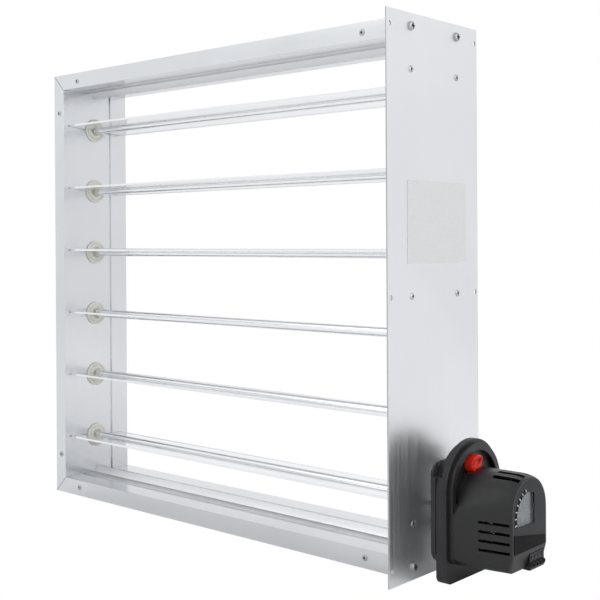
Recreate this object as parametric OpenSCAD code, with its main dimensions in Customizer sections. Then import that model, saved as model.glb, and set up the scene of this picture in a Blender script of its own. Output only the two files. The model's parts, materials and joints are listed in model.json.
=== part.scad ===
/* [Frame] */
// Frame width from its far side to the mounting plate
frame_w = 506; // [400:1:620]
// Frame height over the rims
frame_h = 488; // [470:1:560]
// Frame depth along the air flow
frame_d = 92; // [90:1:110]
// Width of the rim that faces front and back
rim_w = 17.5; // [17.5:0.5:20]
// Wall thickness of the extruded members
wall_t = 1.6; // [1.4:0.1:1.8]
// Width of the shallow recess along each web
recess_w = 45; // [42:1:50]
// Depth of that recess
recess_d = 1.5; // [1.2:0.1:1.6]
// Width of the return lips on the outside of each member
lip_w = 18; // [16:1:19]

/* [Corners] */
// Leg length of the corner plates
corner_leg = 58; // [54:1:70]
// Thickness of the corner plates
corner_plate_t = 2; // [1.5:0.1:3]
// Distance of a corner rivet from the corner, along its leg
rivet_from_corner = 44; // [36:1:48]
// Distance of a corner rivet from the outer edge
rivet_from_edge = 9.7; // [8.5:0.1:10.5]
// Diameter of every pop rivet's shank
rivet_d = 3.2; // [2.8:0.1:3.6]
// Diameter of every pop rivet's head
rivet_head_d = 6.2; // [5.6:0.1:7]
// Height of every pop rivet's head
rivet_head_h = 1.1; // [0.9:0.1:1.4]

/* [Mounting plate] */
// Width of plate beyond each side of the frame
plate_side = 24.5; // [20:0.5:40]
// Height of plate beyond the frame's top and bottom
plate_over = 3; // [0:0.5:15]
// Thickness of the mounting plate
plate_t = 1.6; // [1.2:0.1:3]
// Diameter of the fixing holes along the plate's edges
edge_hole_d = 4.4; // [4:0.1:5]
// Distance of those holes from the plate's long edges
edge_hole_inset = 4.5; // [4:0.1:6]
// Distance of the corner holes from the plate's ends
edge_hole_end = 13.6; // [10:0.1:20]
// Distance of the plate's screws and rivets from the frame's front and back
plate_fixing_inset = 10.5; // [10:0.5:11]
// Distance of the plate's screws from its ends
plate_screw_end = 11.5; // [11:0.5:12]
// Distance of the plate's outer rivets from its ends
plate_rivet_end = 49; // [40:1:60]
// Diameter of the plate screws' shanks
plate_screw_d = 4; // [3.5:0.1:4.5]
// Diameter of the plate screws' heads
plate_screw_head_d = 8.2; // [7.5:0.1:9]
// Width of the blank paper label
label_w = 92; // [60:1:96]
// Height of the blank paper label
label_h = 73; // [50:1:90]
// Height of the label's middle above the plate's middle
label_z = 65; // [60:1:70]
// Distance of the label's middle behind the plate's middle, along the air flow
label_y = 4; // [0:0.5:4]
// Thickness of the paper label
label_t = 0.25; // [0.2:0.05:0.4]

/* [Blades] */
// Distance that each blade reaches over the next one when closed
blade_overlap = 4; // [3:0.5:5]
// Distance from the rails' webs to the outer blades' own share of the opening
end_margin = 7.5; // [7.5:0.5:9]
// Blade sheet thickness
blade_t = 1.5; // [1.2:0.1:1.8]
// Thickness of the bead along each blade edge
bead_t = 2.2; // [2:0.1:2.3]
// Width of that bead
bead_w = 3; // [2:0.5:4]
// Diameter of the round hub along the blade
hub_d = 9.3; // [9:0.1:10]
// Angle of the open blade, rear edge low
open_tilt = 4.5; // [0:0.5:6]
// Gap from a blade's end to the bush beside it
blade_end_gap = 0.5; // [0.4:0.1:1]
// Height of the stop lips that the closed blades reach
stop_h = 6.5; // [6:0.5:6.5]
// Thickness of the stop strips
stop_t = 1.2; // [1:0.1:1.4]
// Width of a stop strip's foot
stop_foot_w = 13; // [8:1:14]
// Distance that a stop lip leans back over its height
stop_lean = 4.5; // [3:0.5:5]

/* [Bushes and axles] */
// Diameter of the bush flanges
bush_flange_d = 27; // [24:0.5:30]
// Thickness of the bush flanges
bush_flange_t = 2.5; // [2:0.1:3]
// Outside diameter of the bush barrels
bush_barrel_d = 12; // [11:0.5:13]
// Length of barrel behind the web
bush_barrel_l = 3; // [2.6:0.1:3]
// Diameter of the blade axles
axle_d = 6.4; // [6:0.1:7]
// Length of axle held inside the blade hub
axle_in_blade = 30; // [20:1:40]
// Radial running clearance of axles and gears
run_gap = 0.06; // [0.04:0.01:0.08]

/* [Linkage] */
// Distance from an axle to its crank pin
crank_r = 20; // [19:0.5:20.5]
// Crank angle in the open position
crank_open_deg = -46; // [-48:1:-44]
// Crank thickness
crank_t = 3; // [2.6:0.1:3]
// Crank pin diameter
crank_pin_d = 4; // [3.6:0.1:4.4]
// Tie bar width
tie_w = 10; // [9:0.5:10]
// Tie bar thickness
tie_t = 2.5; // [2:0.1:2.5]
// Radial clearance of the crank pins that close the linkage
link_gap = 0.15; // [0.1:0.01:0.2]

/* [Actuator mount] */
// Space between the plate and the actuator base
standoff = 23.4; // [20:0.2:40]
// Drive shaft diameter
shaft_d = 12.7; // [12:0.1:13]
// Wall of the plate's shaft bush
plate_bush_wall = 1.2; // [1:0.1:2]
// Actuator base width
base_w = 86; // [84:1:90]
// Height of the base's top above the shaft axis
base_top = 42; // [41:0.5:44]
// Depth of the base's bottom below the shaft axis
base_bottom = 44; // [43:0.5:46]
// Base thickness
base_t = 4.5; // [4.5:0.1:5]
// Standoff stud diameter
stud_d = 8; // [7:0.5:9]
// Diameter of the studs' threaded ends
stud_thread_d = 4.8; // [4:0.1:5.5]

/* [Actuator case] */
// Radius of the case flange's arch
case_r = 42; // [42:0.5:44]
// Height of the case arch's centre above the shaft axis
case_rise = 16; // [15:0.5:16.5]
// Depth of the case's bottom below the shaft axis
case_bottom = 60.5; // [58:0.5:62]
// Case thickness up to the housing
case_t = 8.3; // [8.1:0.1:8.6]
// Thickness of the housing's flange
flange_t = 6.5; // [6:0.1:7]
// Plastic wall thickness
skin = 2.2; // [2:0.1:2.3]
// Radius of the housing's arch
body_r = 30; // [30:0.1:31]
// Height of the housing arch's centre above the shaft axis
body_rise = 4.5; // [4:0.1:5]
// Depth of the housing's bottom below the shaft axis
body_bottom = 44; // [43.5:0.5:46]
// Length of the housing in front of its flange, up to its shoulder
body_len = 42.1; // [40:0.1:46]
// Width from side to side of the housing where it meets its flange
foot_w = 76; // [72:0.5:76]
// Length of the rounded shoulder
shoulder_len = 9; // [8:0.5:11]
// Radius of the arch at the front face
face_r = 28; // [27.5:0.1:28.5]
// Distance from one side vent to the next
vent_pitch = 7.7; // [7.3:0.1:7.9]
// Height of a side vent
vent_h = 2.2; // [1.6:0.1:2.6]
// Length of a side vent
vent_l = 27; // [18:1:27]
// Width of the release button
button_w = 16; // [14:0.5:16]
// Travel of the release button
button_travel = 3; // [2:0.5:3]

/* [Gears] */
// Gear module
gear_m = 1; // [0.97:0.01:1.03]
// Thickness of each gear
gear_t = 3; // [2.6:0.1:3]
// Backlash along the pitch circle
backlash_gap = 0.3; // [0.2:0.05:0.4]

/* [Hidden] */
$fn = 48;
hull_fn = 32;

// Clearances
cut = 1;
seat_gap = 0.1;
snug_gap = 0.02;
gear_gap = 0.4;
air = 0.5;

aluminium = [0.86, 0.87, 0.88];
ivory = [0.88, 0.88, 0.82];
steel = [0.66, 0.67, 0.68];
charcoal = [0.22, 0.22, 0.23];
brass = [0.78, 0.64, 0.32];
black = [0.05, 0.05, 0.05];

// Frame
blade_count = 6;
floor_x = rim_w - recess_d;
opening_top = frame_h / 2 - rim_w;
near_floor_x = -floor_x;
far_floor_x = floor_x - frame_w;
plate_d = frame_d + 2 * plate_side;
plate_h = frame_h + 2 * plate_over;
edge_hole_y = plate_d / 2 - edge_hole_inset;
edge_hole_z = plate_h / 2 - edge_hole_end;
plate_screw_z = plate_h / 2 - plate_screw_end;
plate_rivet_z = plate_h / 2 - plate_rivet_end;
plate_screw_grip = 8;
plate_fixing_w = frame_d - 2 * plate_fixing_inset;
plate_bush_d = shaft_d + 2 * (run_gap + plate_bush_wall);
plate_bush_flange_d = plate_bush_d + 6 * plate_bush_wall;

// Blades and linkage
blade_pitch = 2 * (opening_top - end_margin) / blade_count;
blade_chord = blade_pitch + blade_overlap;
blade_far_x = far_floor_x + bush_flange_t + blade_end_gap;
blade_near_x = near_floor_x - bush_flange_t - blade_end_gap;
crank_x = near_floor_x + wall_t + bush_barrel_l + air;
crank_hub_d = 2 * axle_d;
crank_arm_w = 2 * crank_pin_d;
tie_x = crank_x + crank_t + air;
step_x = tie_x + tie_t + air;
pin_y = crank_r * cos(crank_open_deg);
pin_z = crank_r * sin(crank_open_deg);

// Actuator, from the plate outwards
shaft_z = blade_z(1);
gear_seat_d = shaft_d - 2 * wall_t;
pointer_d = 6;
base_x = plate_t + standoff;
case_x = base_x + base_t;
flange_x = case_x + case_t;
body_x = flange_x + flange_t;
shoulder_x = body_x + body_len;
face_x = shoulder_x + shoulder_len;
case_z = shaft_z + case_rise;
body_z = shaft_z + body_rise;
case_low = shaft_z - case_bottom;
body_low = shaft_z - body_bottom;
case_corner_r = 7;
base_corner_r = 12;
stud_share = 0.69;
stud_y = 25.5;
stud_z = [shaft_z + base_top * stud_share, shaft_z - base_bottom * stud_share];
nut_d = 9;
nut_t = 2;
ear_t = 2.4;
ear_rise = 30;
ear_low = shaft_z + ear_rise;
ear_notch_r = 38;
ear_slot_r = 40.5;
ear_slot_w = 2.6;
ear_slot_l = 8;
ear_slot_deg = 51;
case_screw_d = 3;
case_screw_head_d = 5.8;
case_screw_y = 37.4;
case_screw_drop = 5;
case_screw_pitch = 44;
case_screw_zs = [case_z - case_screw_drop, case_z - case_screw_drop - case_screw_pitch];
neck_t = 4.9;
neck_x = case_x + neck_t;
boss_d = 7.2;

// Gears
output_teeth = 48;
small_teeth = 12;
large_teeth = 34;
motor_teeth = 10;
tip_share = 0.9;
root_share = 1.25;
pin_d = 4;
motor_shaft_d = 2.5;
gear_x = case_x + skin + gear_gap;
wheel_x = gear_x + gear_t + gear_gap;
gear_plate_x = wheel_x + gear_t + gear_gap;
motor_x = gear_plate_x + wall_t;
pinion_z = shaft_z - gear_m * (output_teeth + small_teeth) / 2;
motor_reach = gear_m * (large_teeth + motor_teeth) / 2;
motor_deg = 143;
motor_y = motor_reach * cos(motor_deg);
motor_z = pinion_z + motor_reach * sin(motor_deg);
motor_d = 20;
motor_l = 26;

// Front of the actuator
slab_t = 0.2;
mid_share = 0.6;
mid_drop_share = 0.35;
panel_t = 2;
panel_ledge = 0.8;
panel_x = face_x - panel_t;
panel_r = face_r - skin;
strip_drop = 28;
strip_h = 16;
strip_low = shaft_z - strip_drop;
strip_high = strip_low + strip_h;
strip_out = 0.5;
chin_low = strip_low - skin;
window_r = 20.4;
window_drop = 7;
window_right = 8;
window_low = shaft_z - window_drop;
tick_shares = [0.12, 0.27, 0.42, 0.57, 0.72, 0.87];
tick_l = 2.2;
tick_w = 1;
tick_depth = 1;
disc_r = 21.5;
disc_t = 1.2;
disc_back = 5.6;
disc_x = panel_x - disc_back;
disc_hub_d = 10;
board_x = shoulder_x - 2 * wall_t;
block_w = 24;
block_h = 14;
block_d = 15;
block_y = 12;
block_z = body_low - skin;
block_pitch = 5.7;
block_bore_d = 3;
block_boss_d = 4.8;
block_boss_l = 2;
block_boss_rise = 4.5;
block_screw_rise = 10.5;
block_boss_z = block_z + block_boss_rise;
block_screw_z = block_z + block_screw_rise;
vent_x = face_x - vent_l - skin;
vent_drop = 27.5;
vent_low = shaft_z - vent_drop;
vent_count = 4;
louvre_count = 4;
louvre_w = 2;
louvre_deg = 17;
louvre_l = 25;
louvre_r = 20;
hood_r = 33.4;
hood_rise = 15.1;
foot_drop = 1.5;
foot_z = shaft_z - foot_drop;
hood_floor = 1.4;
ring_step = 3.5;
ring_t = 2.4;

// Release button
button_x = flange_x + hood_floor + air;
button_t = 8;
button_y = -5;
button_lean = 1;
button_z = body_z + body_r;
button_top = 11.4;
button_tip_r = 2.6;
button_rise = 3.5;
tangent_shares = [[-0.47, 0.2], [0.47, 0.2], [0.19, 1], [-0.19, 1]];
shoulder_out = 1;
shoulder_drop = 6.4;
stem_drop = 8;
stem_end = button_z - stem_drop;
stem_w = 7.8;
spring_l = 12;
spring_d = 5.6;
spring_wire = 0.7;
shelf_z = stem_end - spring_l;
shelf_w = 9;

rivet_head_shares = [[0, 0], [1, 0], [0.86, 0.6], [0.5, 1], [0, 1]];
pan_head_shares = [[0, 0], [1, 0], [1, 0.45], [0.72, 0.88], [0.4, 1], [0, 1]];
slot_width_share = 0.14;
slot_length_share = 0.55;
slot_depth_share = 0.45;
head_height_share = 0.32;
mandrel_share = 0.5;
collar_share = 1.4;

function blade_z(k) = (k - (blade_count + 1) / 2) * blade_pitch;
function sized(shares, w, h) = [for (p = shares) [p[0] * w, p[1] * h]];

// Draws its 2D shape in the depth and height plane, from x0 to x1 across the damper
module along_x(x0, x1) {
  translate([x0, 0, 0]) rotate([90, 0, 90]) linear_extrude(x1 - x0) children();
}

// Round bar along X from x0 to x1
module rod_x(x0, x1, d, y = 0, z = 0) {
  translate([x0, y, z]) rotate([0, 90, 0]) cylinder(h = x1 - x0, d = d);
}

// Section of a member: first axis inward from the outer edge, second axis along the air flow
module member_section() {
  half = frame_d / 2;
  dip = recess_w / 2;
  polygon([
    [0, lip_w - half], [0, -half], [rim_w, -half], [rim_w, -dip], [floor_x, -dip],
    [floor_x, dip], [rim_w, dip], [rim_w, half], [0, half], [0, half - lip_w],
    [wall_t, half - lip_w], [wall_t, half - wall_t], [rim_w - wall_t, half - wall_t],
    [rim_w - wall_t, dip + wall_t], [floor_x - wall_t, dip + wall_t],
    [floor_x - wall_t, -dip - wall_t], [rim_w - wall_t, -dip - wall_t],
    [rim_w - wall_t, wall_t - half], [wall_t, wall_t - half], [wall_t, lip_w - half]
  ]);
}

// Mitred member of a given length along Z, its outer edge at x = 0 and its web towards +X
module member(l) {
  m = rim_w + cut;
  intersection() {
    translate([0, 0, -l / 2]) linear_extrude(l) member_section();
    translate([0, frame_d / 2 + cut, 0]) rotate([90, 0, 0]) linear_extrude(frame_d + 2 * cut)
      polygon([[0, -l / 2], [m, m - l / 2], [m, l / 2 - m], [0, l / 2]]);
  }
}

// Rim rivet holes at both ends of a member
module rivet_holes(l) {
  for (s = [-1, 1]) {
    translate([rivet_from_edge, -frame_d / 2 - cut, s * (l / 2 - rivet_from_corner)])
      rotate([-90, 0, 0]) cylinder(h = frame_d + 2 * cut, d = rivet_d + 2 * snug_gap);
  }
}

// Jamb with its rivet holes and the web holes for the bushes
module jamb() {
  difference() {
    member(frame_h);
    rivet_holes(frame_h);
    for (k = [1:blade_count]) {
      rod_x(
        floor_x - wall_t - cut, floor_x + cut, bush_barrel_d + 2 * snug_gap, 0, blade_z(k)
      );
    }
  }
}

module left_jamb() {
  color(aluminium) translate([-frame_w, 0, 0]) jamb();
}

// Holes for the plate's rivets and screws, through everything from x0 to x1
module plate_fixing_holes(x0, x1) {
  for (y = [-1, 1]) {
    for (z = [-1, 0, 1]) {
      rod_x(x0, x1, rivet_d + 2 * snug_gap, y * plate_fixing_w / 2, z * plate_rivet_z);
    }
    for (z = [-1, 1]) {
      rod_x(x0, x1, plate_screw_d + 2 * snug_gap, y * plate_fixing_w / 2, z * plate_screw_z);
    }
  }
}

module right_jamb() {
  color(aluminium) difference() {
    mirror([1, 0, 0]) jamb();
    plate_fixing_holes(-wall_t - cut, cut);
  }
}

module rail() {
  translate([-frame_w / 2, 0, -frame_h / 2]) rotate([0, -90, 0]) difference() {
    member(frame_w);
    rivet_holes(frame_w);
  }
}

module bottom_rail() {
  color(aluminium) rail();
}

module top_rail() {
  color(aluminium) mirror([0, 0, 1]) rail();
}

// Strip in the top rail's recess, its lip hanging down and leaning back to tip_y
module stop_strip(tip_y) {
  top = opening_top + recess_d;
  root = tip_y - stop_lean;
  drop = stop_h + recess_d;
  color(aluminium) along_x(far_floor_x + seat_gap, near_floor_x - seat_gap) polygon([
    [root - stop_foot_w, top], [root - stop_foot_w, top - stop_t], [root, top - stop_t],
    [tip_y, top - drop], [tip_y + stop_t, top - drop], [root + stop_t, top]
  ]);
}

module top_stop() {
  stop_strip(-stop_t);
}

module bottom_stop() {
  mirror([0, 0, 1]) stop_strip(stop_t);
}

// L-shaped plates behind the rims of the front face
module corner_plates() {
  edge = wall_t + seat_gap;
  inner = rim_w - edge;
  for (sx = [-1, 1]) {
    for (sz = [-1, 1]) {
      translate([-frame_w / 2, wall_t - frame_d / 2, 0]) scale([sx, 1, sz])
        translate([-frame_w / 2, 0, -frame_h / 2]) difference() {
          translate([0, corner_plate_t, 0]) rotate([90, 0, 0]) linear_extrude(corner_plate_t)
            polygon([
              [edge, edge], [corner_leg, edge], [corner_leg, inner], [inner, inner],
              [inner, corner_leg], [edge, corner_leg]
            ]);
          for (p = [[rivet_from_corner, rivet_from_edge], [rivet_from_edge, rivet_from_corner]]) {
            translate([p[0], -cut, p[1]]) rotate([-90, 0, 0])
              cylinder(h = corner_plate_t + 2 * cut, d = rivet_d + 2 * snug_gap);
          }
        }
    }
  }
}

module front_corner_plates() {
  color(steel) corner_plates();
}

module rear_corner_plates() {
  color(steel) mirror([0, 1, 0]) corner_plates();
}

// Pop rivet along +Z, its head's underside at the origin
module rivet(grip) {
  difference() {
    union() {
      rotate_extrude() polygon(sized(rivet_head_shares, rivet_head_d / 2, rivet_head_h));
      translate([0, 0, -grip]) cylinder(h = grip, d = rivet_d);
      translate([0, 0, -grip - rivet_head_h])
        cylinder(h = rivet_head_h, d = rivet_d * collar_share);
    }
    translate([0, 0, rivet_head_h * slot_depth_share])
      cylinder(h = rivet_head_h, d = rivet_d * mandrel_share);
  }
}

module corner_rivets() {
  grip = wall_t + corner_plate_t;
  color(steel) for (side = [-1, 1]) {
    for (sx = [-1, 1]) {
      for (sz = [-1, 1]) {
        for (p = [[rivet_from_corner, rivet_from_edge], [rivet_from_edge, rivet_from_corner]]) {
          translate([
            sx * (frame_w / 2 - p[0]) - frame_w / 2, side * frame_d / 2, sz * (frame_h / 2 - p[1])
          ]) rotate([-90 * side, 0, 0]) rivet(grip);
        }
      }
    }
  }
}

module mounting_plate() {
  color(aluminium) difference() {
    translate([0, -plate_d / 2, -plate_h / 2]) cube([plate_t, plate_d, plate_h]);
    for (y = [-1, 1]) {
      for (z = [-1, 0, 1]) {
        rod_x(-cut, plate_t + cut, edge_hole_d, y * edge_hole_y, z * edge_hole_z);
      }
    }
    plate_fixing_holes(-cut, plate_t + cut);
    rod_x(-cut, plate_t + cut, plate_bush_d + 2 * snug_gap, 0, shaft_z);
    for (z = stud_z) {
      rod_x(-cut, plate_t + cut, stud_thread_d + 2 * snug_gap, stud_y, z);
    }
  }
}

// Cross-recess screw along +X, its head's underside at x = 0
module pan_screw(d, head_d, l) {
  head_h = head_d * head_height_share;
  slot_w = head_d * slot_width_share;
  slot_l = head_d * slot_length_share;
  slot_x = head_h * slot_depth_share;
  difference() {
    union() {
      rotate([0, 90, 0]) rotate_extrude() polygon(sized(pan_head_shares, head_d / 2, head_h));
      rod_x(-l, 0, d);
    }
    translate([slot_x, -slot_w / 2, -slot_l / 2]) cube([head_h, slot_w, slot_l]);
    translate([slot_x, -slot_l / 2, -slot_w / 2]) cube([head_h, slot_l, slot_w]);
  }
}

module plate_screws() {
  color(steel) for (y = [-1, 1]) {
    for (z = [-1, 1]) {
      translate([plate_t, y * plate_fixing_w / 2, z * plate_screw_z])
        pan_screw(plate_screw_d, plate_screw_head_d, plate_t + plate_screw_grip);
    }
  }
}

module plate_rivets() {
  color(steel) for (y = [-1, 1]) {
    for (z = [-1, 0, 1]) {
      translate([plate_t, y * plate_fixing_w / 2, z * plate_rivet_z]) rotate([0, 90, 0])
        rivet(plate_t + wall_t);
    }
  }
}

module blank_label() {
  color("white") translate([plate_t, label_y - label_w / 2, label_z - label_h / 2])
    cube([label_t, label_w, label_h]);
}

// Flanged bush on the X axis, its flange from x = 0 to +X and its barrel behind
module bush(bore_d, barrel_d, barrel_l, flange_d, thick) {
  difference() {
    union() {
      rod_x(0, thick, flange_d);
      rod_x(-barrel_l, 0, barrel_d);
    }
    rod_x(-barrel_l - cut, thick + cut, bore_d + 2 * run_gap);
  }
}

module blade_bush() {
  bush(axle_d, bush_barrel_d, wall_t + bush_barrel_l, bush_flange_d, bush_flange_t);
}

module left_bushes() {
  color(ivory) for (k = [1:blade_count]) {
    translate([far_floor_x, 0, blade_z(k)]) blade_bush();
  }
}

module right_bushes() {
  color(ivory) for (k = [1:blade_count]) {
    translate([near_floor_x, 0, blade_z(k)]) mirror([1, 0, 0]) blade_bush();
  }
}

module plate_bush() {
  color(ivory) translate([0, 0, shaft_z]) mirror([1, 0, 0])
    bush(shaft_d, plate_bush_d, plate_t, plate_bush_flange_d, plate_bush_wall);
}

module blade(k) {
  edge = (blade_chord - bead_w) / 2;
  color(aluminium) translate([0, 0, blade_z(k)]) along_x(blade_far_x, blade_near_x)
    rotate(-open_tilt) difference() {
      union() {
        square([blade_chord, blade_t], center = true);
        circle(d = hub_d);
        for (s = [-1, 1]) {
          translate([s * edge, 0]) square([bead_w, bead_t], center = true);
        }
      }
      circle(d = axle_d + 2 * snug_gap);
    }
}

// Both axles of a blade; the drive blade's near one carries on as the drive shaft
module axles(k) {
  color(steel) translate([0, 0, blade_z(k)]) {
    rod_x(far_floor_x - wall_t - bush_barrel_l - air, blade_far_x + axle_in_blade, axle_d);
    rod_x(blade_near_x - axle_in_blade, k == 1 ? step_x : crank_x + crank_t, axle_d);
    if (k == 1) {
      rod_x(step_x, gear_x, shaft_d);
      rod_x(gear_x, gear_x + gear_t, gear_seat_d);
      rod_x(gear_x + gear_t, disc_x + disc_t, pointer_d);
    }
  }
}

module crank(k) {
  color(steel) translate([0, 0, blade_z(k)]) rotate([crank_open_deg, 0, 0]) {
    along_x(crank_x, crank_x + crank_t) difference() {
      union() {
        circle(d = crank_hub_d);
        translate([0, -crank_arm_w / 2]) square([crank_r, crank_arm_w]);
        translate([crank_r, 0]) circle(d = crank_arm_w);
      }
      circle(d = axle_d + 2 * snug_gap);
    }
    rod_x(crank_x + crank_t, tie_x + tie_t, crank_pin_d, crank_r);
  }
}

module tie_bar() {
  low = blade_z(1) + pin_z;
  high = blade_z(blade_count) + pin_z;
  color(steel) along_x(tie_x, tie_x + tie_t) difference() {
    union() {
      translate([pin_y - tie_w / 2, low]) square([tie_w, high - low]);
      translate([pin_y, low]) circle(d = tie_w);
      translate([pin_y, high]) circle(d = tie_w);
    }
    for (k = [1:blade_count]) {
      translate([pin_y, blade_z(k) + pin_z])
        circle(d = crank_pin_d + 2 * (k == 1 ? run_gap : link_gap));
    }
  }
}

module standoff_studs() {
  color(steel) for (z = stud_z) {
    rod_x(0, plate_t, stud_thread_d, stud_y, z);
    rod_x(plate_t, base_x, stud_d, stud_y, z);
    rod_x(base_x, base_x + skin + nut_t, stud_thread_d, stud_y, z);
  }
}

module stud_nuts() {
  color(steel) for (z = stud_z) {
    along_x(base_x + skin, base_x + skin + nut_t) translate([stud_y, z]) difference() {
      circle(d = nut_d, $fn = 6);
      circle(d = stud_thread_d + 2 * snug_gap);
    }
  }
}

// Rounded rectangle about the shaft axis
module base_outline(inset) {
  y = base_w / 2 - inset;
  low = shaft_z - base_bottom + inset;
  high = shaft_z + base_top - inset;
  r = base_corner_r - inset;
  translate([-y, low + r]) square([2 * y, high - low - 2 * r]);
  translate([r - y, low]) square([2 * (y - r), high - low]);
  for (s = [-1, 1]) {
    for (z = [low + r, high - r]) {
      translate([s * (y - r), z]) circle(r = r);
    }
  }
}

// Upper corners of the base, outside a circle about the case arch's centre
module ear_zone(inset) {
  difference() {
    translate([-base_w, ear_low - inset]) square([2 * base_w, base_w]);
    translate([0, case_z]) circle(r = ear_notch_r - inset);
  }
}

module case_screw_holes(x0, x1) {
  for (y = [-1, 1]) {
    for (z = case_screw_zs) {
      rod_x(x0, x1, case_screw_d + 2 * snug_gap, y * case_screw_y, z);
    }
  }
}

module screw_bosses() {
  for (y = [-1, 1]) {
    for (z = case_screw_zs) {
      translate([y * case_screw_y, z]) circle(d = boss_d);
    }
  }
}

// Tray with thin slotted ears at its upper corners
module actuator_base() {
  color(charcoal) difference() {
    along_x(base_x, case_x) base_outline(0);
    along_x(base_x + skin, case_x + cut) difference() {
      base_outline(skin);
      ear_zone(skin);
      screw_bosses();
    }
    along_x(base_x + ear_t, case_x + cut) ear_zone(0);
    for (s = [-1, 1]) {
      along_x(base_x - cut, base_x + ear_t + cut) translate([0, case_z])
        rotate(s * ear_slot_deg) translate([0, ear_slot_r])
        square([ear_slot_l, ear_slot_w], center = true);
    }
    rod_x(base_x - cut, case_x + cut, shaft_d + 2 * air, 0, shaft_z);
    for (z = stud_z) {
      rod_x(base_x - cut, case_x + cut, stud_thread_d + 2 * snug_gap, stud_y, z);
    }
    case_screw_holes(base_x - cut, case_x + cut);
  }
}

// Arched outline: a half circle above a rectangle with rounded lower corners
module arch(r, zc, low, corner) {
  translate([0, zc]) circle(r = r);
  translate([-r, low + corner]) square([2 * r, zc - low - corner]);
  translate([corner - r, low]) square([2 * (r - corner), zc - low]);
  for (s = [-1, 1]) {
    translate([s * (r - corner), low + corner]) circle(r = corner);
  }
}

module gear_case() {
  color(charcoal) difference() {
    along_x(case_x, flange_x) arch(case_r, case_z, case_low, case_corner_r);
    along_x(case_x + skin, neck_x + skin) difference() {
      arch(case_r - skin, case_z, case_low + skin, case_corner_r - skin);
      ear_zone(skin);
      screw_bosses();
    }
    along_x(neck_x + skin, flange_x + cut) difference() {
      arch(case_r - skin, case_z, case_low + skin, case_corner_r - skin);
      screw_bosses();
    }
    along_x(case_x - cut, neck_x) ear_zone(0);
    rod_x(case_x - cut, case_x + skin + cut, shaft_d + 2 * air, 0, shaft_z);
    rod_x(case_x + skin / 2, case_x + skin + cut, pin_d + 2 * snug_gap, 0, pinion_z);
    case_screw_holes(case_x - cut, flange_x + cut);
  }
}

// Screws from behind the base into the housing's flange
module case_screws() {
  color(steel) for (y = [-1, 1]) {
    for (z = case_screw_zs) {
      translate([base_x, y * case_screw_y, z]) mirror([1, 0, 0])
        pan_screw(case_screw_d, case_screw_head_d, base_t + case_t + wall_t);
    }
  }
}

function involute(base_r, deg) = [
  base_r * (cos(deg) + deg * PI / 180 * sin(deg)), base_r * (sin(deg) - deg * PI / 180 * cos(deg))
];
function turned(p, deg) = [p[0] * cos(deg) - p[1] * sin(deg), p[0] * sin(deg) + p[1] * cos(deg)];
function roll_deg(base_r, r) = sqrt(max(0, pow(r / base_r, 2) - 1)) * 180 / PI;

// Outline of an involute gear, one tooth centred on the first axis
function gear_points(teeth) =
  let (
    pitch_r = gear_m * teeth / 2,
    base_r = pitch_r * cos(20),
    tip_r = pitch_r + gear_m * tip_share,
    root_r = pitch_r - gear_m * root_share,
    start_r = max(base_r, root_r),
    on_pitch = involute(base_r, roll_deg(base_r, pitch_r)),
    half = (90 - backlash_gap / gear_m * 90 / PI) / teeth,
    turn = atan2(on_pitch[1], on_pitch[0]) + half,
    flank = [
      for (i = [0:4])
        turned(involute(base_r, roll_deg(base_r, start_r + (tip_r - start_r) * i / 4)), -turn)
    ]
  )
  [
    for (t = [0:teeth - 1])
      each [
        turned([root_r, 0], t * 360 / teeth - turn),
        for (p = flank) turned(p, t * 360 / teeth),
        for (i = [4:-1:0]) turned([flank[i][0], -flank[i][1]], t * 360 / teeth),
        turned([root_r, 0], t * 360 / teeth + turn)
      ]
  ];

module output_gear() {
  color(ivory) translate([0, 0, shaft_z]) along_x(gear_x, gear_x + gear_t) difference() {
    rotate(-90) polygon(gear_points(output_teeth));
    circle(d = gear_seat_d + 2 * snug_gap);
  }
}

module reduction_gear() {
  color(ivory) translate([0, 0, pinion_z]) difference() {
    union() {
      along_x(gear_x, wheel_x) rotate(90 + 180 / small_teeth) polygon(gear_points(small_teeth));
      along_x(wheel_x, wheel_x + gear_t) rotate(motor_deg) polygon(gear_points(large_teeth));
    }
    rod_x(gear_x - cut, wheel_x + gear_t + cut, pin_d + 2 * run_gap);
  }
}

// Motor pinion with the motor's shaft
module motor_pinion() {
  color(brass) translate([0, motor_y, motor_z]) {
    along_x(wheel_x, wheel_x + gear_t) rotate(motor_deg + 180 + 180 / motor_teeth)
      polygon(gear_points(motor_teeth));
    rod_x(wheel_x + gear_t, motor_x + 2 * gear_t, motor_shaft_d);
  }
}

module motor() {
  color(steel) difference() {
    union() {
      rod_x(motor_x, motor_x + motor_l, motor_d, motor_y, motor_z);
      rod_x(motor_x + motor_l, motor_x + motor_l + skin, boss_d, motor_y, motor_z);
    }
    rod_x(
      motor_x - cut, motor_x + 2 * gear_t + air, motor_shaft_d + 2 * run_gap, motor_y, motor_z
    );
  }
}

module gear_pin() {
  color(steel) rod_x(case_x + skin / 2, gear_plate_x + wall_t, pin_d, 0, pinion_z);
}

// Plate that carries the motor, with a bent shelf under the button's spring
module gear_plate() {
  color(steel) {
    along_x(gear_plate_x, gear_plate_x + wall_t) difference() {
      intersection() {
        arch(body_r - skin - seat_gap, body_z, body_low + skin + seat_gap, case_corner_r);
        translate([-body_r, body_low]) square([2 * body_r, shelf_z - body_low]);
      }
      translate([0, shaft_z]) circle(d = pointer_d + 2 * air);
      translate([0, pinion_z]) circle(d = pin_d + 2 * snug_gap);
      translate([motor_y, motor_z]) circle(d = motor_shaft_d + 2 * air);
    }
    along_x(gear_plate_x, button_x + button_t) translate([button_y - shelf_w / 2, shelf_z - wall_t])
      square([shelf_w, wall_t]);
  }
}

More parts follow.
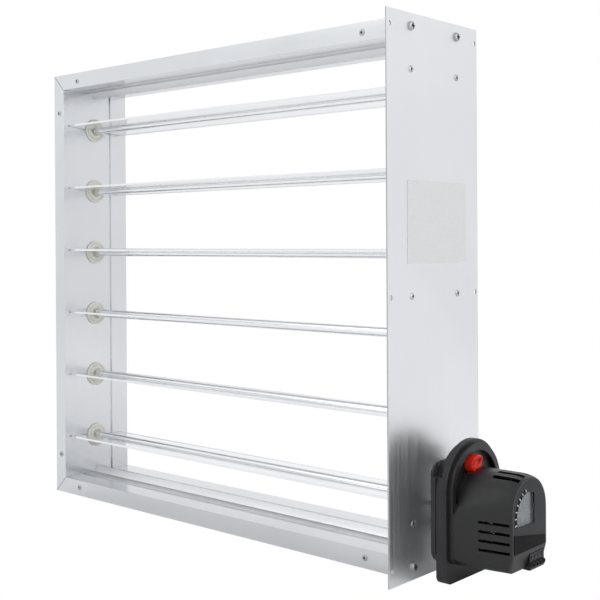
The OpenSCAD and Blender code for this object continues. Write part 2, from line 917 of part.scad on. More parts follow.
// Silver half disc that shows the blades' position
module indicator_disc() {
  color("silver") translate([0, 0, shaft_z]) along_x(disc_x, disc_x + disc_t) difference() {
    union() {
      intersection() {
        circle(r = disc_r);
        translate([-disc_r, -disc_r]) square([disc_r, 2 * disc_r]);
      }
      circle(d = disc_hub_d);
    }
    circle(d = pointer_d + 2 * snug_gap);
  }
}

module circuit_board() {
  color([0.1, 0.35, 0.18]) along_x(board_x, board_x + wall_t) difference() {
    arch(body_r - skin - seat_gap, body_z, shaft_z - body_rise, case_corner_r - skin);
    translate([0, shaft_z]) circle(d = pointer_d + 2 * air);
  }
}

// Thin slab of the housing's section, one end of a hull
module section_slab(x, r, low, corner) {
  along_x(x - slab_t, x) arch(r, body_z, low, corner, $fn = hull_fn);
}

module shoulder(inset) {
  mid_x = shoulder_x + shoulder_len * mid_share;
  mid_r = body_r - (body_r - face_r) * mid_drop_share - inset;
  hull() {
    section_slab(shoulder_x + slab_t, body_r - inset, body_low + inset, case_corner_r);
    section_slab(mid_x, mid_r, body_low + inset, case_corner_r);
  }
  hull() {
    section_slab(mid_x, mid_r, body_low + inset, case_corner_r);
    section_slab(face_x, face_r - inset, chin_low + inset, case_corner_r / 2);
  }
}

// Section of the housing at its foot, wide below the hood
module foot_outline() {
  arch(body_r, body_z, body_low, case_corner_r, $fn = hull_fn);
  translate([case_corner_r - foot_w / 2, body_low]) square([foot_w - 2 * case_corner_r, case_corner_r]);
  translate([-foot_w / 2, body_low + case_corner_r])
    square([foot_w, foot_z - body_low - case_corner_r]);
}

// Outer form of the housing: flange, step ring, body and shoulder
module housing_form() {
  along_x(flange_x, flange_x + ring_t) arch(case_r, case_z, case_low, case_corner_r);
  along_x(flange_x, body_x) arch(case_r - ring_step, case_z, body_low, case_corner_r);
  hull() {
    along_x(body_x - slab_t, body_x) foot_outline();
    section_slab(shoulder_x + slab_t, body_r, body_low, case_corner_r);
  }
  shoulder(0);
}

module housing() {
  color(charcoal) difference() {
    housing_form();
    along_x(flange_x - cut, shoulder_x + slab_t)
      arch(body_r - skin, body_z, body_low + skin, case_corner_r - skin);
    intersection() {
      shoulder(skin + panel_ledge);
      translate([flange_x, -case_r, case_low]) cube([panel_x - flange_x, 2 * case_r, 3 * case_r]);
    }
    // room for the gears in the flange
    along_x(flange_x - cut, gear_plate_x)
      arch(body_r - skin, body_z, case_low + 3 * skin, case_corner_r - skin);
    // pocket under the hood, around the top of the body
    along_x(flange_x + hood_floor, body_x + cut) difference() {
      translate([0, shaft_z + hood_rise]) circle(r = hood_r);
      arch(body_r, body_z, body_low, case_corner_r, $fn = hull_fn);
    }
    along_x(panel_x, face_x + cut) arch(panel_r, body_z, strip_low, skin);
    // slot for the button
    translate([button_x - air, button_y - button_w / 2 - air, body_z])
      cube([button_t + 2 * air, button_w + 2 * air, body_r]);
    for (k = [0:vent_count - 1]) {
      translate([vent_x, -case_r, vent_low + k * vent_pitch]) cube([vent_l, 2 * case_r, vent_h]);
    }
    for (k = [0:louvre_count - 1]) {
      translate([face_x - louvre_l - skin, 0, body_z])
        rotate([louvre_deg * (k - (louvre_count - 1) / 2), 0, 0])
        translate([0, -louvre_w / 2, louvre_r]) cube([louvre_l, louvre_w, louvre_r]);
    }
    // place of the terminal block
    translate([face_x - block_d - snug_gap, block_y - block_w / 2 - snug_gap, block_z - cut])
      cube([block_d + cut, block_w + 2 * snug_gap, block_h + snug_gap + cut]);
    case_screw_holes(flange_x - cut, flange_x + wall_t + air);
  }
}

// Window: part of a disc about the shaft axis, cut off below and on the right
module window_outline(inset) {
  intersection() {
    translate([0, shaft_z]) circle(r = window_r - inset);
    translate([-window_r, window_low + inset])
      square([window_r + window_right - inset, 2 * window_r]);
  }
}

module front_panel() {
  color([0.3, 0.3, 0.31]) difference() {
    along_x(panel_x, face_x) intersection() {
      arch(panel_r - snug_gap, body_z, strip_low, skin);
      translate([-face_r, strip_high + snug_gap]) square([2 * face_r, 2 * face_r]);
    }
    along_x(panel_x - cut, face_x + cut) window_outline(0);
    for (q = tick_shares) {
      translate([face_x - tick_depth, 0, shaft_z]) rotate([-90 * q, 0, 0])
        translate([0, -window_r - tick_w - tick_l, -tick_w / 2])
        cube([tick_depth + cut, tick_l, tick_w]);
    }
  }
}

module indicator_window() {
  color([0.75, 0.77, 0.8, 0.5]) along_x(panel_x, face_x - tick_depth / 2)
    window_outline(snug_gap);
}

module control_strip() {
  color(black) along_x(panel_x, face_x + strip_out) intersection() {
    arch(panel_r - snug_gap, body_z, strip_low + snug_gap, skin);
    translate([-face_r, strip_low]) square([2 * face_r, strip_high - strip_low]);
  }
}

module terminal_block() {
  color(black) difference() {
    union() {
      translate([face_x - block_d, block_y - block_w / 2, block_z])
        cube([block_d, block_w, block_h]);
      for (k = [0:3]) {
        rod_x(
          face_x - block_d / 2, face_x + block_boss_l, block_boss_d,
          block_y + (k - 1.5) * block_pitch, block_boss_z
        );
      }
    }
    for (k = [0:3]) {
      rod_x(
        face_x - block_d / 2, face_x + block_boss_l + cut, block_bore_d,
        block_y + (k - 1.5) * block_pitch, block_boss_z
      );
      rod_x(
        face_x - panel_t, face_x + cut, block_bore_d + 2 * snug_gap,
        block_y + (k - 1.5) * block_pitch, block_screw_z
      );
    }
  }
}

module terminal_screws() {
  color(steel) for (k = [0:3]) {
    translate([face_x, block_y + (k - 1.5) * block_pitch, block_screw_z]) difference() {
      rod_x(-panel_t, strip_out, block_bore_d);
      translate([-strip_out, -block_bore_d, -strip_out / 2])
        cube([panel_t, 2 * block_bore_d, strip_out]);
    }
  }
}

module release_button() {
  middle = button_z + button_rise;
  tip = button_z + button_top - button_tip_r;
  color("red") translate([0, button_y, 0]) along_x(button_x, button_x + button_t) {
    translate([0, middle]) circle(d = button_w);
    translate([button_lean, tip]) circle(r = button_tip_r);
    translate([0, middle]) polygon([
      for (p = tangent_shares) [p[0] * button_w + p[1] * button_lean, p[1] * (tip - middle)]
    ]);
    translate([-button_w / 2 - shoulder_out, button_z - shoulder_drop - wall_t])
      square([button_w + 2 * shoulder_out, wall_t]);
    translate([-stem_w / 2, stem_end]) square([stem_w, button_z - stem_end]);
  }
}

module button_spring() {
  color(steel) translate([button_x + button_t / 2, button_y, shelf_z]) difference() {
    cylinder(h = spring_l - snug_gap, d = spring_d);
    translate([0, 0, -cut]) cylinder(h = spring_l + 2 * cut, d = spring_d - 2 * spring_wire);
  }
}

left_jamb();
right_jamb();
top_rail();
bottom_rail();
top_stop();
bottom_stop();
front_corner_plates();
rear_corner_plates();
corner_rivets();
mounting_plate();
plate_screws();
plate_rivets();
blank_label();
left_bushes();
right_bushes();
plate_bush();
standoff_studs();
stud_nuts();
actuator_base();
gear_case();
gear_plate();
gear_pin();
motor();
housing();
front_panel();
indicator_window();
control_strip();
terminal_block();
terminal_screws();
circuit_board();
case_screws();
release_button();
button_spring();
output_gear();
indicator_disc();
reduction_gear();
motor_pinion();
tie_bar();
blade(1);  // blade_1
blade(2);  // blade_2
blade(3);  // blade_3
blade(4);  // blade_4
blade(5);  // blade_5
blade(6);  // blade_6
axles(1);  // axles_1
axles(2);  // axles_2
axles(3);  // axles_3
axles(4);  // axles_4
axles(5);  // axles_5
axles(6);  // axles_6
crank(1);  // crank_1
crank(2);  // crank_2
crank(3);  // crank_3
crank(4);  // crank_4
crank(5);  // crank_5
crank(6);  // crank_6
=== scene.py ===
import json
import math

import bmesh
import bpy
from mathutils import Matrix, Vector

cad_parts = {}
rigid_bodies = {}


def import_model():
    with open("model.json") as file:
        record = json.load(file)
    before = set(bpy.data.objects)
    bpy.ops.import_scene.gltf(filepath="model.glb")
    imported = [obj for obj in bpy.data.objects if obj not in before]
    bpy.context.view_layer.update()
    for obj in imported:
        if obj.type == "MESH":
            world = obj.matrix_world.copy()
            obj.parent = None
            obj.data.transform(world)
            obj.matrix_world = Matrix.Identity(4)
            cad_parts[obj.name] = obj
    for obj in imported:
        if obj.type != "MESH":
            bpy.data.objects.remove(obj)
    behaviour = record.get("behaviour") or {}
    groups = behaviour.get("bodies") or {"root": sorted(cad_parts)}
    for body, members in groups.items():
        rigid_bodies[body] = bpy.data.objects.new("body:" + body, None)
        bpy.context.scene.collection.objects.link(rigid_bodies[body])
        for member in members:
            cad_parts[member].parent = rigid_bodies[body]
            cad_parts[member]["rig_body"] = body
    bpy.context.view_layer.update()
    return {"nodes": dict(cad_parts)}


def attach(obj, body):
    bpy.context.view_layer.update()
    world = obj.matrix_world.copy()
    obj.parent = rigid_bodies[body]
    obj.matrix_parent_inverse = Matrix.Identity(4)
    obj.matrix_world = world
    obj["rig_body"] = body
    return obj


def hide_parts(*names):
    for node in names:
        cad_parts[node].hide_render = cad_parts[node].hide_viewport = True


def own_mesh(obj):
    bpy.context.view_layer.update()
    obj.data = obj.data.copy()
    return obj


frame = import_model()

MM = 0.001
NODES = frame["nodes"]
BLADES = range(1, 7)
PITCH = 73 * MM
BLADE_Z = {k: (k - 3.5) * PITCH for k in BLADES}
FRAME_W, FRAME_HALF_D, FRAME_HALF_H = 506 * MM, 46 * MM, 244 * MM
CORNERS = [(side, sx, x0, sz) for side in (-1, 1) for sx, x0 in ((1, -FRAME_W), (-1, 0)) for sz in (-1, 1)]
PLATE_FACE, HOLE_Y = 1.6 * MM, 35.5 * MM
# Centres of the drive shaft and of the housing's arch, in mm
SHAFT_Z, BODY_Z = -182.5, -178.0
SHARP_DEG, FLAT_DEG = 32, 0.4

# Materials


def shader(name, base, rough, metallic=0.0):
    """A new material's node tree and its shader."""
    mat = bpy.data.materials.new(name)
    mat.use_nodes = True
    tree = mat.node_tree
    tree.nodes.clear()
    out = tree.nodes.new("ShaderNodeOutputMaterial")
    bsdf = tree.nodes.new("ShaderNodeBsdfPrincipled")
    tree.links.new(bsdf.outputs[0], out.inputs[0])
    bsdf.inputs["Base Color"].default_value = (*base, 1)
    bsdf.inputs["Roughness"].default_value = rough
    bsdf.inputs["Metallic"].default_value = metallic
    return mat, tree, bsdf


def noise(tree, scale, stretch=(1, 1, 1), detail=3.0, rough=0.55):
    """Noise in the part's own coordinates, stretched along the axes with a small factor."""
    coord = tree.nodes.new("ShaderNodeTexCoord")
    place = tree.nodes.new("ShaderNodeMapping")
    place.inputs["Scale"].default_value = stretch
    tex = tree.nodes.new("ShaderNodeTexNoise")
    tex.inputs["Scale"].default_value = scale
    tex.inputs["Detail"].default_value = detail
    tex.inputs["Roughness"].default_value = rough
    tree.links.new(coord.outputs["Object"], place.inputs["Vector"])
    tree.links.new(place.outputs["Vector"], tex.inputs["Vector"])
    return tex.outputs["Fac"]


def spread(tree, value, low, high, start=0.3, end=0.7):
    """A 0 to 1 value spread between two numbers."""
    node = tree.nodes.new("ShaderNodeMapRange")
    node.inputs["From Min"].default_value = start
    node.inputs["From Max"].default_value = end
    node.inputs["To Min"].default_value = low
    node.inputs["To Max"].default_value = high
    tree.links.new(value, node.inputs["Value"])
    return node.outputs["Result"]


def blend_colour(tree, value, dark, light, start=0.3, end=0.7):
    """A colour between dark and light, by a 0 to 1 value."""
    ramp = tree.nodes.new("ShaderNodeValToRGB")
    ramp.color_ramp.elements[0].position = start
    ramp.color_ramp.elements[0].color = (*dark, 1)
    ramp.color_ramp.elements[1].position = end
    ramp.color_ramp.elements[1].color = (*light, 1)
    tree.links.new(value, ramp.inputs["Fac"])
    return ramp.outputs["Color"]


def bump(tree, bsdf, value, strength, depth):
    """Raises the surface by a 0 to 1 value, depth in metres."""
    node = tree.nodes.new("ShaderNodeBump")
    node.inputs["Strength"].default_value = strength
    node.inputs["Distance"].default_value = depth
    tree.links.new(value, node.inputs["Height"])
    tree.links.new(node.outputs["Normal"], bsdf.inputs["Normal"])


def shade(colour, factor):
    """The colour made darker or lighter."""
    return tuple(min(1.0, c * factor) for c in colour)


def tint(tree, bsdf, value, base, tone):
    """Lets the base colour change by a share of tone, by a 0 to 1 value."""
    dark, light = shade(base, 1 - tone), shade(base, 1 + tone)
    tree.links.new(blend_colour(tree, value, dark, light), bsdf.inputs["Base Color"])


def metal(name, base, rough, along=(1, 1, 1), tone=0.05, grain=0.25):
    """Rolled or extruded metal: die lines along one axis, and a slow change of tone."""
    mat, tree, bsdf = shader(name, base, rough, 1.0)
    slow = noise(tree, 9.0, detail=2.0)
    lines = noise(tree, 900.0, along, 4.0, 0.65)
    tint(tree, bsdf, slow, base, tone)
    tree.links.new(spread(tree, lines, rough * 0.82, rough * 1.2), bsdf.inputs["Roughness"])
    bump(tree, bsdf, lines, grain, 0.00004)
    return mat


def plastic(name, base, rough, grain_scale=2600.0, grain=0.35, tone=0.12, gloss=0.5):
    """Moulded plastic: spark-eroded grain, with a slow change of tone and gloss."""
    mat, tree, bsdf = shader(name, base, rough)
    bsdf.inputs["Specular IOR Level"].default_value = gloss
    slow = noise(tree, 45.0, detail=3.0)
    fine = noise(tree, grain_scale, detail=2.0, rough=0.6)
    tint(tree, bsdf, slow, base, tone)
    tree.links.new(spread(tree, slow, rough * 0.88, rough * 1.12), bsdf.inputs["Roughness"])
    bump(tree, bsdf, fine, grain, 0.00006)
    return mat


def paper(name):
    """Matt paper with faint fibres."""
    mat, tree, bsdf = shader(name, (0.9, 0.9, 0.89), 0.62)
    fibres = noise(tree, 700.0, (1, 0.35, 1), 4.0, 0.7)
    colour = blend_colour(tree, fibres, (0.505, 0.505, 0.51), (0.55, 0.55, 0.555))
    tree.links.new(colour, bsdf.inputs["Base Color"])
    bump(tree, bsdf, fibres, 0.2, 0.00003)
    return mat


def clear_plastic(name):
    """A clear window with a faint smear."""
    mat, tree, bsdf = shader(name, (0.93, 0.95, 0.96), 0.06)
    bsdf.inputs["Transmission Weight"].default_value = 1.0
    bsdf.inputs["IOR"].default_value = 1.2
    smear = noise(tree, 160.0, detail=3.0)
    tree.links.new(spread(tree, smear, 0.03, 0.1), bsdf.inputs["Roughness"])
    return mat


def board_mask(name):
    """Black solder mask with a lighter pattern of tracks."""
    mat, tree, bsdf = shader(name, (0.02, 0.02, 0.021), 0.35)
    coord = tree.nodes.new("ShaderNodeTexCoord")
    cells = tree.nodes.new("ShaderNodeTexVoronoi")
    cells.distance = "MANHATTAN"
    cells.inputs["Scale"].default_value = 260.0
    tree.links.new(coord.outputs["Object"], cells.inputs["Vector"])
    track, mask = (0.035, 0.036, 0.038), (0.012, 0.012, 0.013)
    colour = blend_colour(tree, cells.outputs["Distance"], track, mask, 0.2, 0.3)
    tree.links.new(colour, bsdf.inputs["Base Color"])
    bump(tree, bsdf, cells.outputs["Distance"], 0.2, 0.00005)
    return mat


ALU, GREY_METAL = (0.70, 0.71, 0.725), (0.42, 0.425, 0.43)
ALONG_X, ALONG_Z, EVEN = (0.012, 1, 1), (1, 1, 0.012), (1, 1, 1)
M = {
    "alu_x": metal("extruded aluminium, lying", ALU, 0.2, ALONG_X, 0.03, 0.1),
    "alu_z": metal("extruded aluminium, upright", ALU, 0.22, ALONG_Z, 0.03, 0.12),
    "plate": metal("rolled aluminium plate", (0.74, 0.745, 0.755), 0.38, ALONG_Z, 0.02, 0.2),
    "stop": metal("aluminium stop strip", (0.88, 0.885, 0.89), 0.4, ALONG_X, 0.02, 0.15),
    "cut": metal("sheared aluminium edge", GREY_METAL, 0.5, ALONG_Z, 0.1, 0.4),
    # Very dark steel: the rivets' mandrels, the mitre joints and the terminal screws, and painted shade in
    # the rivets' holes and the screws' recesses
    "dark_metal_and_shade": metal("broken steel mandrel", (0.10, 0.10, 0.11), 0.5, EVEN, 0.3, 0.5),
    "blade": metal("extruded aluminium blade", (0.86, 0.865, 0.875), 0.15, ALONG_X, 0.02, 0.06),
    "zinc": metal("zinc plated steel", (0.62, 0.63, 0.64), 0.3, EVEN, 0.1, 0.15),
    "screw": metal("plated screw head", GREY_METAL, 0.42, EVEN, 0.12, 0.2),
    "rivet": metal("aluminium rivet", (0.44, 0.45, 0.46), 0.38, EVEN, 0.12, 0.15),
    "brass": metal("machined brass", (0.78, 0.6, 0.28), 0.25, EVEN, 0.08, 0.15),
    "paper": paper("blank label paper"),
    "ivory": plastic("ivory nylon", (0.78, 0.775, 0.70), 0.42, 1800.0, 0.1, 0.03),
    "base": plastic("dark grey plastic, base", (0.02, 0.02, 0.021), 0.5, gloss=0.3),
    "case": plastic("dark grey plastic, case", (0.005, 0.005, 0.0053), 0.44, gloss=0.45),
    "panel": plastic("dark grey plastic, panel", (0.012, 0.012, 0.013), 0.42, 3200.0, 0.2, gloss=0.2),
    "black": plastic("black plastic", (0.002, 0.002, 0.0022), 0.35, 3200.0, 0.06, gloss=0.05),
    "block": plastic("black terminal plastic", (0.01, 0.01, 0.0105), 0.4, gloss=0.25),
    "red": plastic("red plastic", (0.52, 0.016, 0.008), 0.36, 2200.0, 0.12, 0.06, 0.25),
    "silver": plastic("silver painted plastic", (0.16, 0.163, 0.167), 0.3, 4200.0, 0.15, 0.04),
    "window": clear_plastic("clear window"),
    "board": board_mask("circuit board"),
    "print": plastic("pale printed ink", (0.45, 0.45, 0.46), 0.5, 4200.0, 0.05, 0.04),
}

# The nodes that wear each look
WEARERS = {
    "alu_x": "top_rail bottom_rail",
    "alu_z": "left_jamb right_jamb",
    "stop": "top_stop bottom_stop",
    "plate": "mounting_plate",
    "paper": "blank_label",
    "zinc": "front_corner_plates rear_corner_plates plate_screws standoff_studs stud_nuts gear_plate "
            "gear_pin motor case_screws button_spring tie_bar",
    "rivet": "corner_rivets plate_rivets",
    "ivory": "left_bushes right_bushes plate_bush output_gear reduction_gear",
    "dark_metal_and_shade": "terminal_screws",
    "base": "actuator_base gear_case",
    "case": "housing",
    "panel": "front_panel",
    "black": "control_strip",
    "block": "terminal_block",
    "window": "indicator_window",
    "silver": "indicator_disc",
    "red": "release_button",
    "board": "circuit_board",
    "brass": "motor_pinion",
}
LOOK = {node: look for look, nodes in WEARERS.items() for node in nodes.split()}
for k in BLADES:
    LOOK.update({"blade_%d" % k: "blade", "axles_%d" % k: "zinc", "crank_%d" % k: "zinc"})
for name, look in LOOK.items():
    NODES[name].data.materials.clear()
    NODES[name].data.materials.append(M[look])

# Mesh helpers


def finish_piece(obj, look, body, nodes=(), second=None):
    """Gives a piece its looks and its body, and hides the nodes that it stands for."""
    obj.data.materials.append(M[look])
    if second:
        obj.data.materials.append(M[second])
    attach(obj, body)
    if nodes:
        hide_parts(*nodes)


def from_bmesh(name, bm, angle=SHARP_DEG):
    """A new object from bm, smooth except at edges sharper than angle."""
    bmesh.ops.recalc_face_normals(bm, faces=bm.faces)
    limit = math.radians(angle)
    for face in bm.faces:
        face.smooth = True
    for edge in bm.edges:
        if len(edge.link_faces) != 2 or edge.calc_face_angle(0) > limit:
            edge.smooth = False
    mesh = bpy.data.meshes.new(name)
    bm.to_mesh(mesh)
    bm.free()
    obj = bpy.data.objects.new(name, mesh)
    bpy.context.scene.collection.objects.link(obj)
    return obj


def finish_fixings(name, bm, look, node):
    """Rivets or screws of the frame, with middles painted very dark as painted shade in the rivets' holes and
    the screws' recesses, which stand for one node.
    """
    finish_piece(from_bmesh(name, bm), look, "frame", (node,), "dark_metal_and_shade")


def even_shading(obj):
    """The object, with its flat faces shaded flat right up to their broken edges."""
    even = obj.modifiers.new("even shading", "WEIGHTED_NORMAL")
    even.mode = "FACE_AREA"
    even.weight = 80
    even.keep_sharp = True
    return obj


def add_block(bm, corners):
    """A block from its eight corners: the last direction changes first, then the middle one."""
    verts = [bm.verts.new(p) for p in corners]
    for quad in ((0, 1, 3, 2), (4, 6, 7, 5), (0, 4, 5, 1), (2, 3, 7, 6), (0, 2, 6, 4), (1, 5, 7, 3)):
        bm.faces.new([verts[i] for i in quad])


def box_between(bm, low, high):
    """A block between two corners, for the hidden parts of a moulding."""
    xs, ys, zs = zip(low, high)
    add_block(bm, [(x, y, z) for x in xs for y in ys for z in zs])


def cut_from(bm, blocks):
    """bm less the blocks, each a list of eight corners."""
    cutter = bmesh.new()
    for block in blocks:
        add_block(cutter, block)
    bmesh.ops.recalc_face_normals(cutter, faces=cutter.faces)
    pair = []
    for name, shape in (("solid", bm), ("cutter", cutter)):
        mesh = bpy.data.meshes.new(name)
        shape.to_mesh(mesh)
        shape.free()
        pair.append(bpy.data.objects.new(name, mesh))
        bpy.context.scene.collection.objects.link(pair[-1])
    cut = pair[0].modifiers.new("cut", "BOOLEAN")
    cut.operation, cut.solver, cut.object = "DIFFERENCE", "EXACT", pair[1]
    result = bmesh.new()
    result.from_object(pair[0], bpy.context.evaluated_depsgraph_get())
    for obj in pair:
        mesh = obj.data
        bpy.data.objects.remove(obj)
        bpy.data.meshes.remove(mesh)
    return result


def break_edges(bm, width, clamp, leave=None):
    """Joins flat faces and bevels the sharp edges, but for those whose ends leave is true for."""
    bmesh.ops.dissolve_limit(bm, angle_limit=math.radians(FLAT_DEG), verts=bm.verts, edges=bm.edges)
    sharp = math.radians(SHARP_DEG)
    edges = [e for e in bm.edges if len(e.link_faces) == 2 and e.calc_face_angle(0) > sharp]
    if leave:
        edges = [e for e in edges if not all(leave(v.co) for v in e.verts)]
    bmesh.ops.bevel(bm, geom=edges, offset=width, offset_type="OFFSET", segments=2, profile=0.5,
                    affect="EDGES", clamp_overlap=clamp)


def broken(bm, width):
    """Breaks the sharp edges of a form that is built here."""
    bmesh.ops.recalc_face_normals(bm, faces=bm.faces)
    break_edges(bm, width, clamp=True)


def in_louvres(p):
    """Whether p is where the louvres' own edges are, which stay sharp."""
    return 68 * MM < p.x < 93.3 * MM and abs(p.y) < 18 * MM and p.z > (BODY_Z + 21) * MM


def dressed(node, width, edge=None, blocks=()):
    """The CAD node's own shape with its sharp edges broken, which stands for the node.

    The walls of a flat plate that faces along X take the look named by edge. The blocks are
    cut out of the shape, as louvres."""
    source = NODES[node]
    bm = bmesh.new()
    bm.from_mesh(source.data)
    bmesh.ops.remove_doubles(bm, verts=bm.verts, dist=1e-6)
    if blocks:
        bm = cut_from(bm, blocks)
    break_edges(bm, width, clamp=False, leave=in_louvres if blocks else None)
    bmesh.ops.triangulate(bm, faces=[f for f in bm.faces if len(f.verts) > 4])
    if edge:
        bm.normal_update()
        for f in bm.faces:
            f.material_index = int(abs(f.normal.x) < 0.3)
    obj = even_shading(from_bmesh(node + "_dressed", bm, 40))
    finish_piece(obj, LOOK[node], source["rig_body"], (node,), edge)


def revolve(bm, profile, centre, axis, turns, core=0.0):
    """Turns a profile of (radius, height) points about a line through centre along axis.

    Faces no further than core from the line take the piece's second material."""
    turn = Vector((0, 0, 1)).rotation_difference(Vector(axis)).to_matrix()
    rings = []
    for radius, height in profile:
        if radius == 0:
            rings.append([bm.verts.new(Vector(centre) + turn @ Vector((0, 0, height)))])
            continue
        ring = []
        for i in range(turns):
            a = 2 * math.pi * i / turns
            spoke = Vector((radius * math.cos(a), radius * math.sin(a), height))
            ring.append(bm.verts.new(Vector(centre) + turn @ spoke))
        rings.append(ring)
    for step, (lower, upper) in enumerate(zip(rings, rings[1:])):
        second = max(profile[step][0], profile[step + 1][0]) <= core
        for i in range(turns):
            j = (i + 1) % turns
            corners = [lower[i % len(lower)], lower[j % len(lower)],
                       upper[j % len(upper)], upper[i % len(upper)]]
            unique = []
            for v in corners:
                if v not in unique:
                    unique.append(v)
            if len(unique) > 2:
                bm.faces.new(unique).material_index = int(second)


def skin(bm, rows):
    """Faces between each closed row of vertices and the next."""
    faces = []
    for lower, upper in zip(rows, rows[1:]):
        for i in range(len(lower)):
            j = (i + 1) % len(lower)
            faces.append(bm.faces.new((lower[i], lower[j], upper[j], upper[i])))
    return faces


def loft(bm, rings):
    """Skins rings of points that all have the same count, and closes both ends."""
    rows = [[bm.verts.new(q) for q in ring] for ring in rings]
    skin(bm, rows)
    bm.faces.new(rows[0])
    bm.faces.new(rows[-1])


def loop_edges(verts):
    """The pairs of neighbours in a closed row of vertices."""
    return [(verts[i], verts[(i + 1) % len(verts)]) for i in range(len(verts))]


def plate(bm, outer, holes, x0, x1):
    """A flat plate between two heights along X, from outlines of (y, z) points."""
    for x in (x0, x1):
        edges = []
        for outline in (outer, *holes):
            verts = [bm.verts.new((x, y, z)) for y, z in outline]
            edges += [bm.edges.new(pair) for pair in loop_edges(verts)]
        bmesh.ops.triangle_fill(bm, use_beauty=True, use_dissolve=False, edges=edges)
    bm.verts.ensure_lookup_table()
    count = sum(len(o) for o in (outer, *holes))
    low = len(bm.verts) - 2 * count
    for outline in (outer, *holes):
        n, high = len(outline), low + count
        for i in range(n):
            j = (i + 1) % n
            bm.faces.new((bm.verts[low + i], bm.verts[low + j], bm.verts[high + j], bm.verts[high + i]))
        low += n


def scaled(points):
    """Points in mm, put in metres."""
    return [(a * MM, b * MM) for a, b in points]


def arc(radius, z0, start, end, count):
    """Points on an arc, in mm, by degrees from the top towards -Y."""
    points = []
    for i in range(count + 1):
        a = math.radians(start + (end - start) * i / count)
        points.append((-radius * math.sin(a), z0 + radius * math.cos(a)))
    return points


def sector(outer, inner, start, end, count):
    """The outline of a band round the shaft between two radii."""
    return scaled(arc(outer, SHAFT_Z, start, end, count) + arc(inner, SHAFT_Z, end, start, count))


# Mitre joints, narrow dark lines at the bottom of the grooves between two members

RIM, JOINT_END, JOINT_HALF, JOINT_DEEP, JOINT_PROUD = 17.5 * MM, 0.4 * MM, 0.2 * MM, 0.04 * MM, 0.02 * MM
bm = bmesh.new()
for side, sx, x0, sz in CORNERS:
    line = []
    for along in (JOINT_END, RIM - JOINT_END):
        for across in (-JOINT_HALF, JOINT_HALF):
            line.append((x0 + sx * (along + across), sz * (FRAME_HALF_H - along + across)))
    heights = side * (FRAME_HALF_D + JOINT_PROUD), side * (FRAME_HALF_D - JOINT_DEEP)
    add_block(bm, [(x, y, z) for y in heights for x, z in line])
finish_piece(from_bmesh("mitre_joints", bm), "dark_metal_and_shade", "frame")

# Pop rivets with a steel mandrel in the middle, painted very dark: painted shade in the hole, on the
# mandrel's end and the hole's wall

RIVET_HEAD = scaled([(0, -4), (1.6, -4), (1.6, 0), (3.1, 0), (3.08, 0.22), (2.8, 0.55), (2.2, 0.85),
                     (1.6, 1.02), (1.35, 1.06), (1.2, 0.98), (1.1, 0.2), (1.0, -0.1), (0.5, -0.02), (0, 0.1)])
# Faces within this radius of a rivet's axis, the mandrel's end and the hole's wall, are painted very dark as
# painted shade
MANDREL_AND_SHADE_R, RIVET_TURNS = 1.15 * MM, 24
ALONG_MEMBER, ACROSS_MEMBER = 44 * MM, 9.7 * MM
bm = bmesh.new()
for side, sx, x0, sz in CORNERS:
    for a, b in ((ALONG_MEMBER, ACROSS_MEMBER), (ACROSS_MEMBER, ALONG_MEMBER)):
        centre = (x0 + sx * a, side * FRAME_HALF_D, sz * (FRAME_HALF_H - b))
        revolve(bm, RIVET_HEAD, centre, (0, side, 0), RIVET_TURNS, MANDREL_AND_SHADE_R)
finish_fixings("corner_pop_rivets", bm, "rivet", "corner_rivets")

PLATE_RIVET_Z = 198 * MM
bm = bmesh.new()
for y in (-HOLE_Y, HOLE_Y):
    for z in (-PLATE_RIVET_Z, 0, PLATE_RIVET_Z):
        revolve(bm, RIVET_HEAD, (PLATE_FACE, y, z), (1, 0, 0), RIVET_TURNS, MANDREL_AND_SHADE_R)
finish_fixings("plate_pop_rivets", bm, "rivet", "plate_rivets")

# Plate screws

# The head's outline, as shares of its radius and of its height
SCREW_HEAD = ((1.0, 0.0), (1.0, 0.35), (0.95, 0.6), (0.82, 0.82), (0.66, 0.95))
SCREW_Z, SCREW_R, SCREW_H, SHANK_R, SHANK_L = 235.5 * MM, 4.1 * MM, 2.6 * MM, 2 * MM, 9.6 * MM
ARM, ARM_HALF, RECESS_FLOOR, RECESS_TAPER = 0.6 * SCREW_R, 0.17 * SCREW_R, 0.25 * SCREW_H, 0.72


def cross_screw(bm, centre):
    """Pan head screw along +X with a tapered cross recess, painted very dark as painted shade."""
    x, y, z = centre
    turns = 32
    circle = [(math.cos(2 * math.pi * i / turns), math.sin(2 * math.pi * i / turns)) for i in range(turns)]
    shank = SHANK_R / SCREW_R
    outline = [(shank, x - SHANK_L), (shank, x)] + [(share, x + up * SCREW_H) for share, up in SCREW_HEAD]
    rows = []
    for share, at in outline:
        rows.append([bm.verts.new((at, y + share * SCREW_R * a, z + share * SCREW_R * b)) for a, b in circle])
    skin(bm, rows)
    bm.faces.new(rows[0])
    arm, half = ARM, ARM_HALF
    cross = [(-half, -arm), (half, -arm), (half, -half), (arm, -half), (arm, half), (half, half),
             (half, arm), (-half, arm), (-half, half), (-arm, half), (-arm, -half), (-half, -half)]
    mouth = [bm.verts.new((x + SCREW_H, y + a, z + b)) for a, b in cross]
    deep = [bm.verts.new((x + RECESS_FLOOR, y + a * RECESS_TAPER, z + b * RECESS_TAPER)) for a, b in cross]
    rim = [bm.edges.get(pair) for pair in loop_edges(rows[-1])]
    lip = [bm.edges.new(pair) for pair in loop_edges(mouth)]
    bmesh.ops.triangle_fill(bm, use_beauty=True, use_dissolve=False, edges=rim + lip)
    # The recess's walls and floor take the second, very dark material: painted shade in the recess
    for face in [*skin(bm, [mouth, deep]), bm.faces.new(deep)]:
        face.material_index = 1


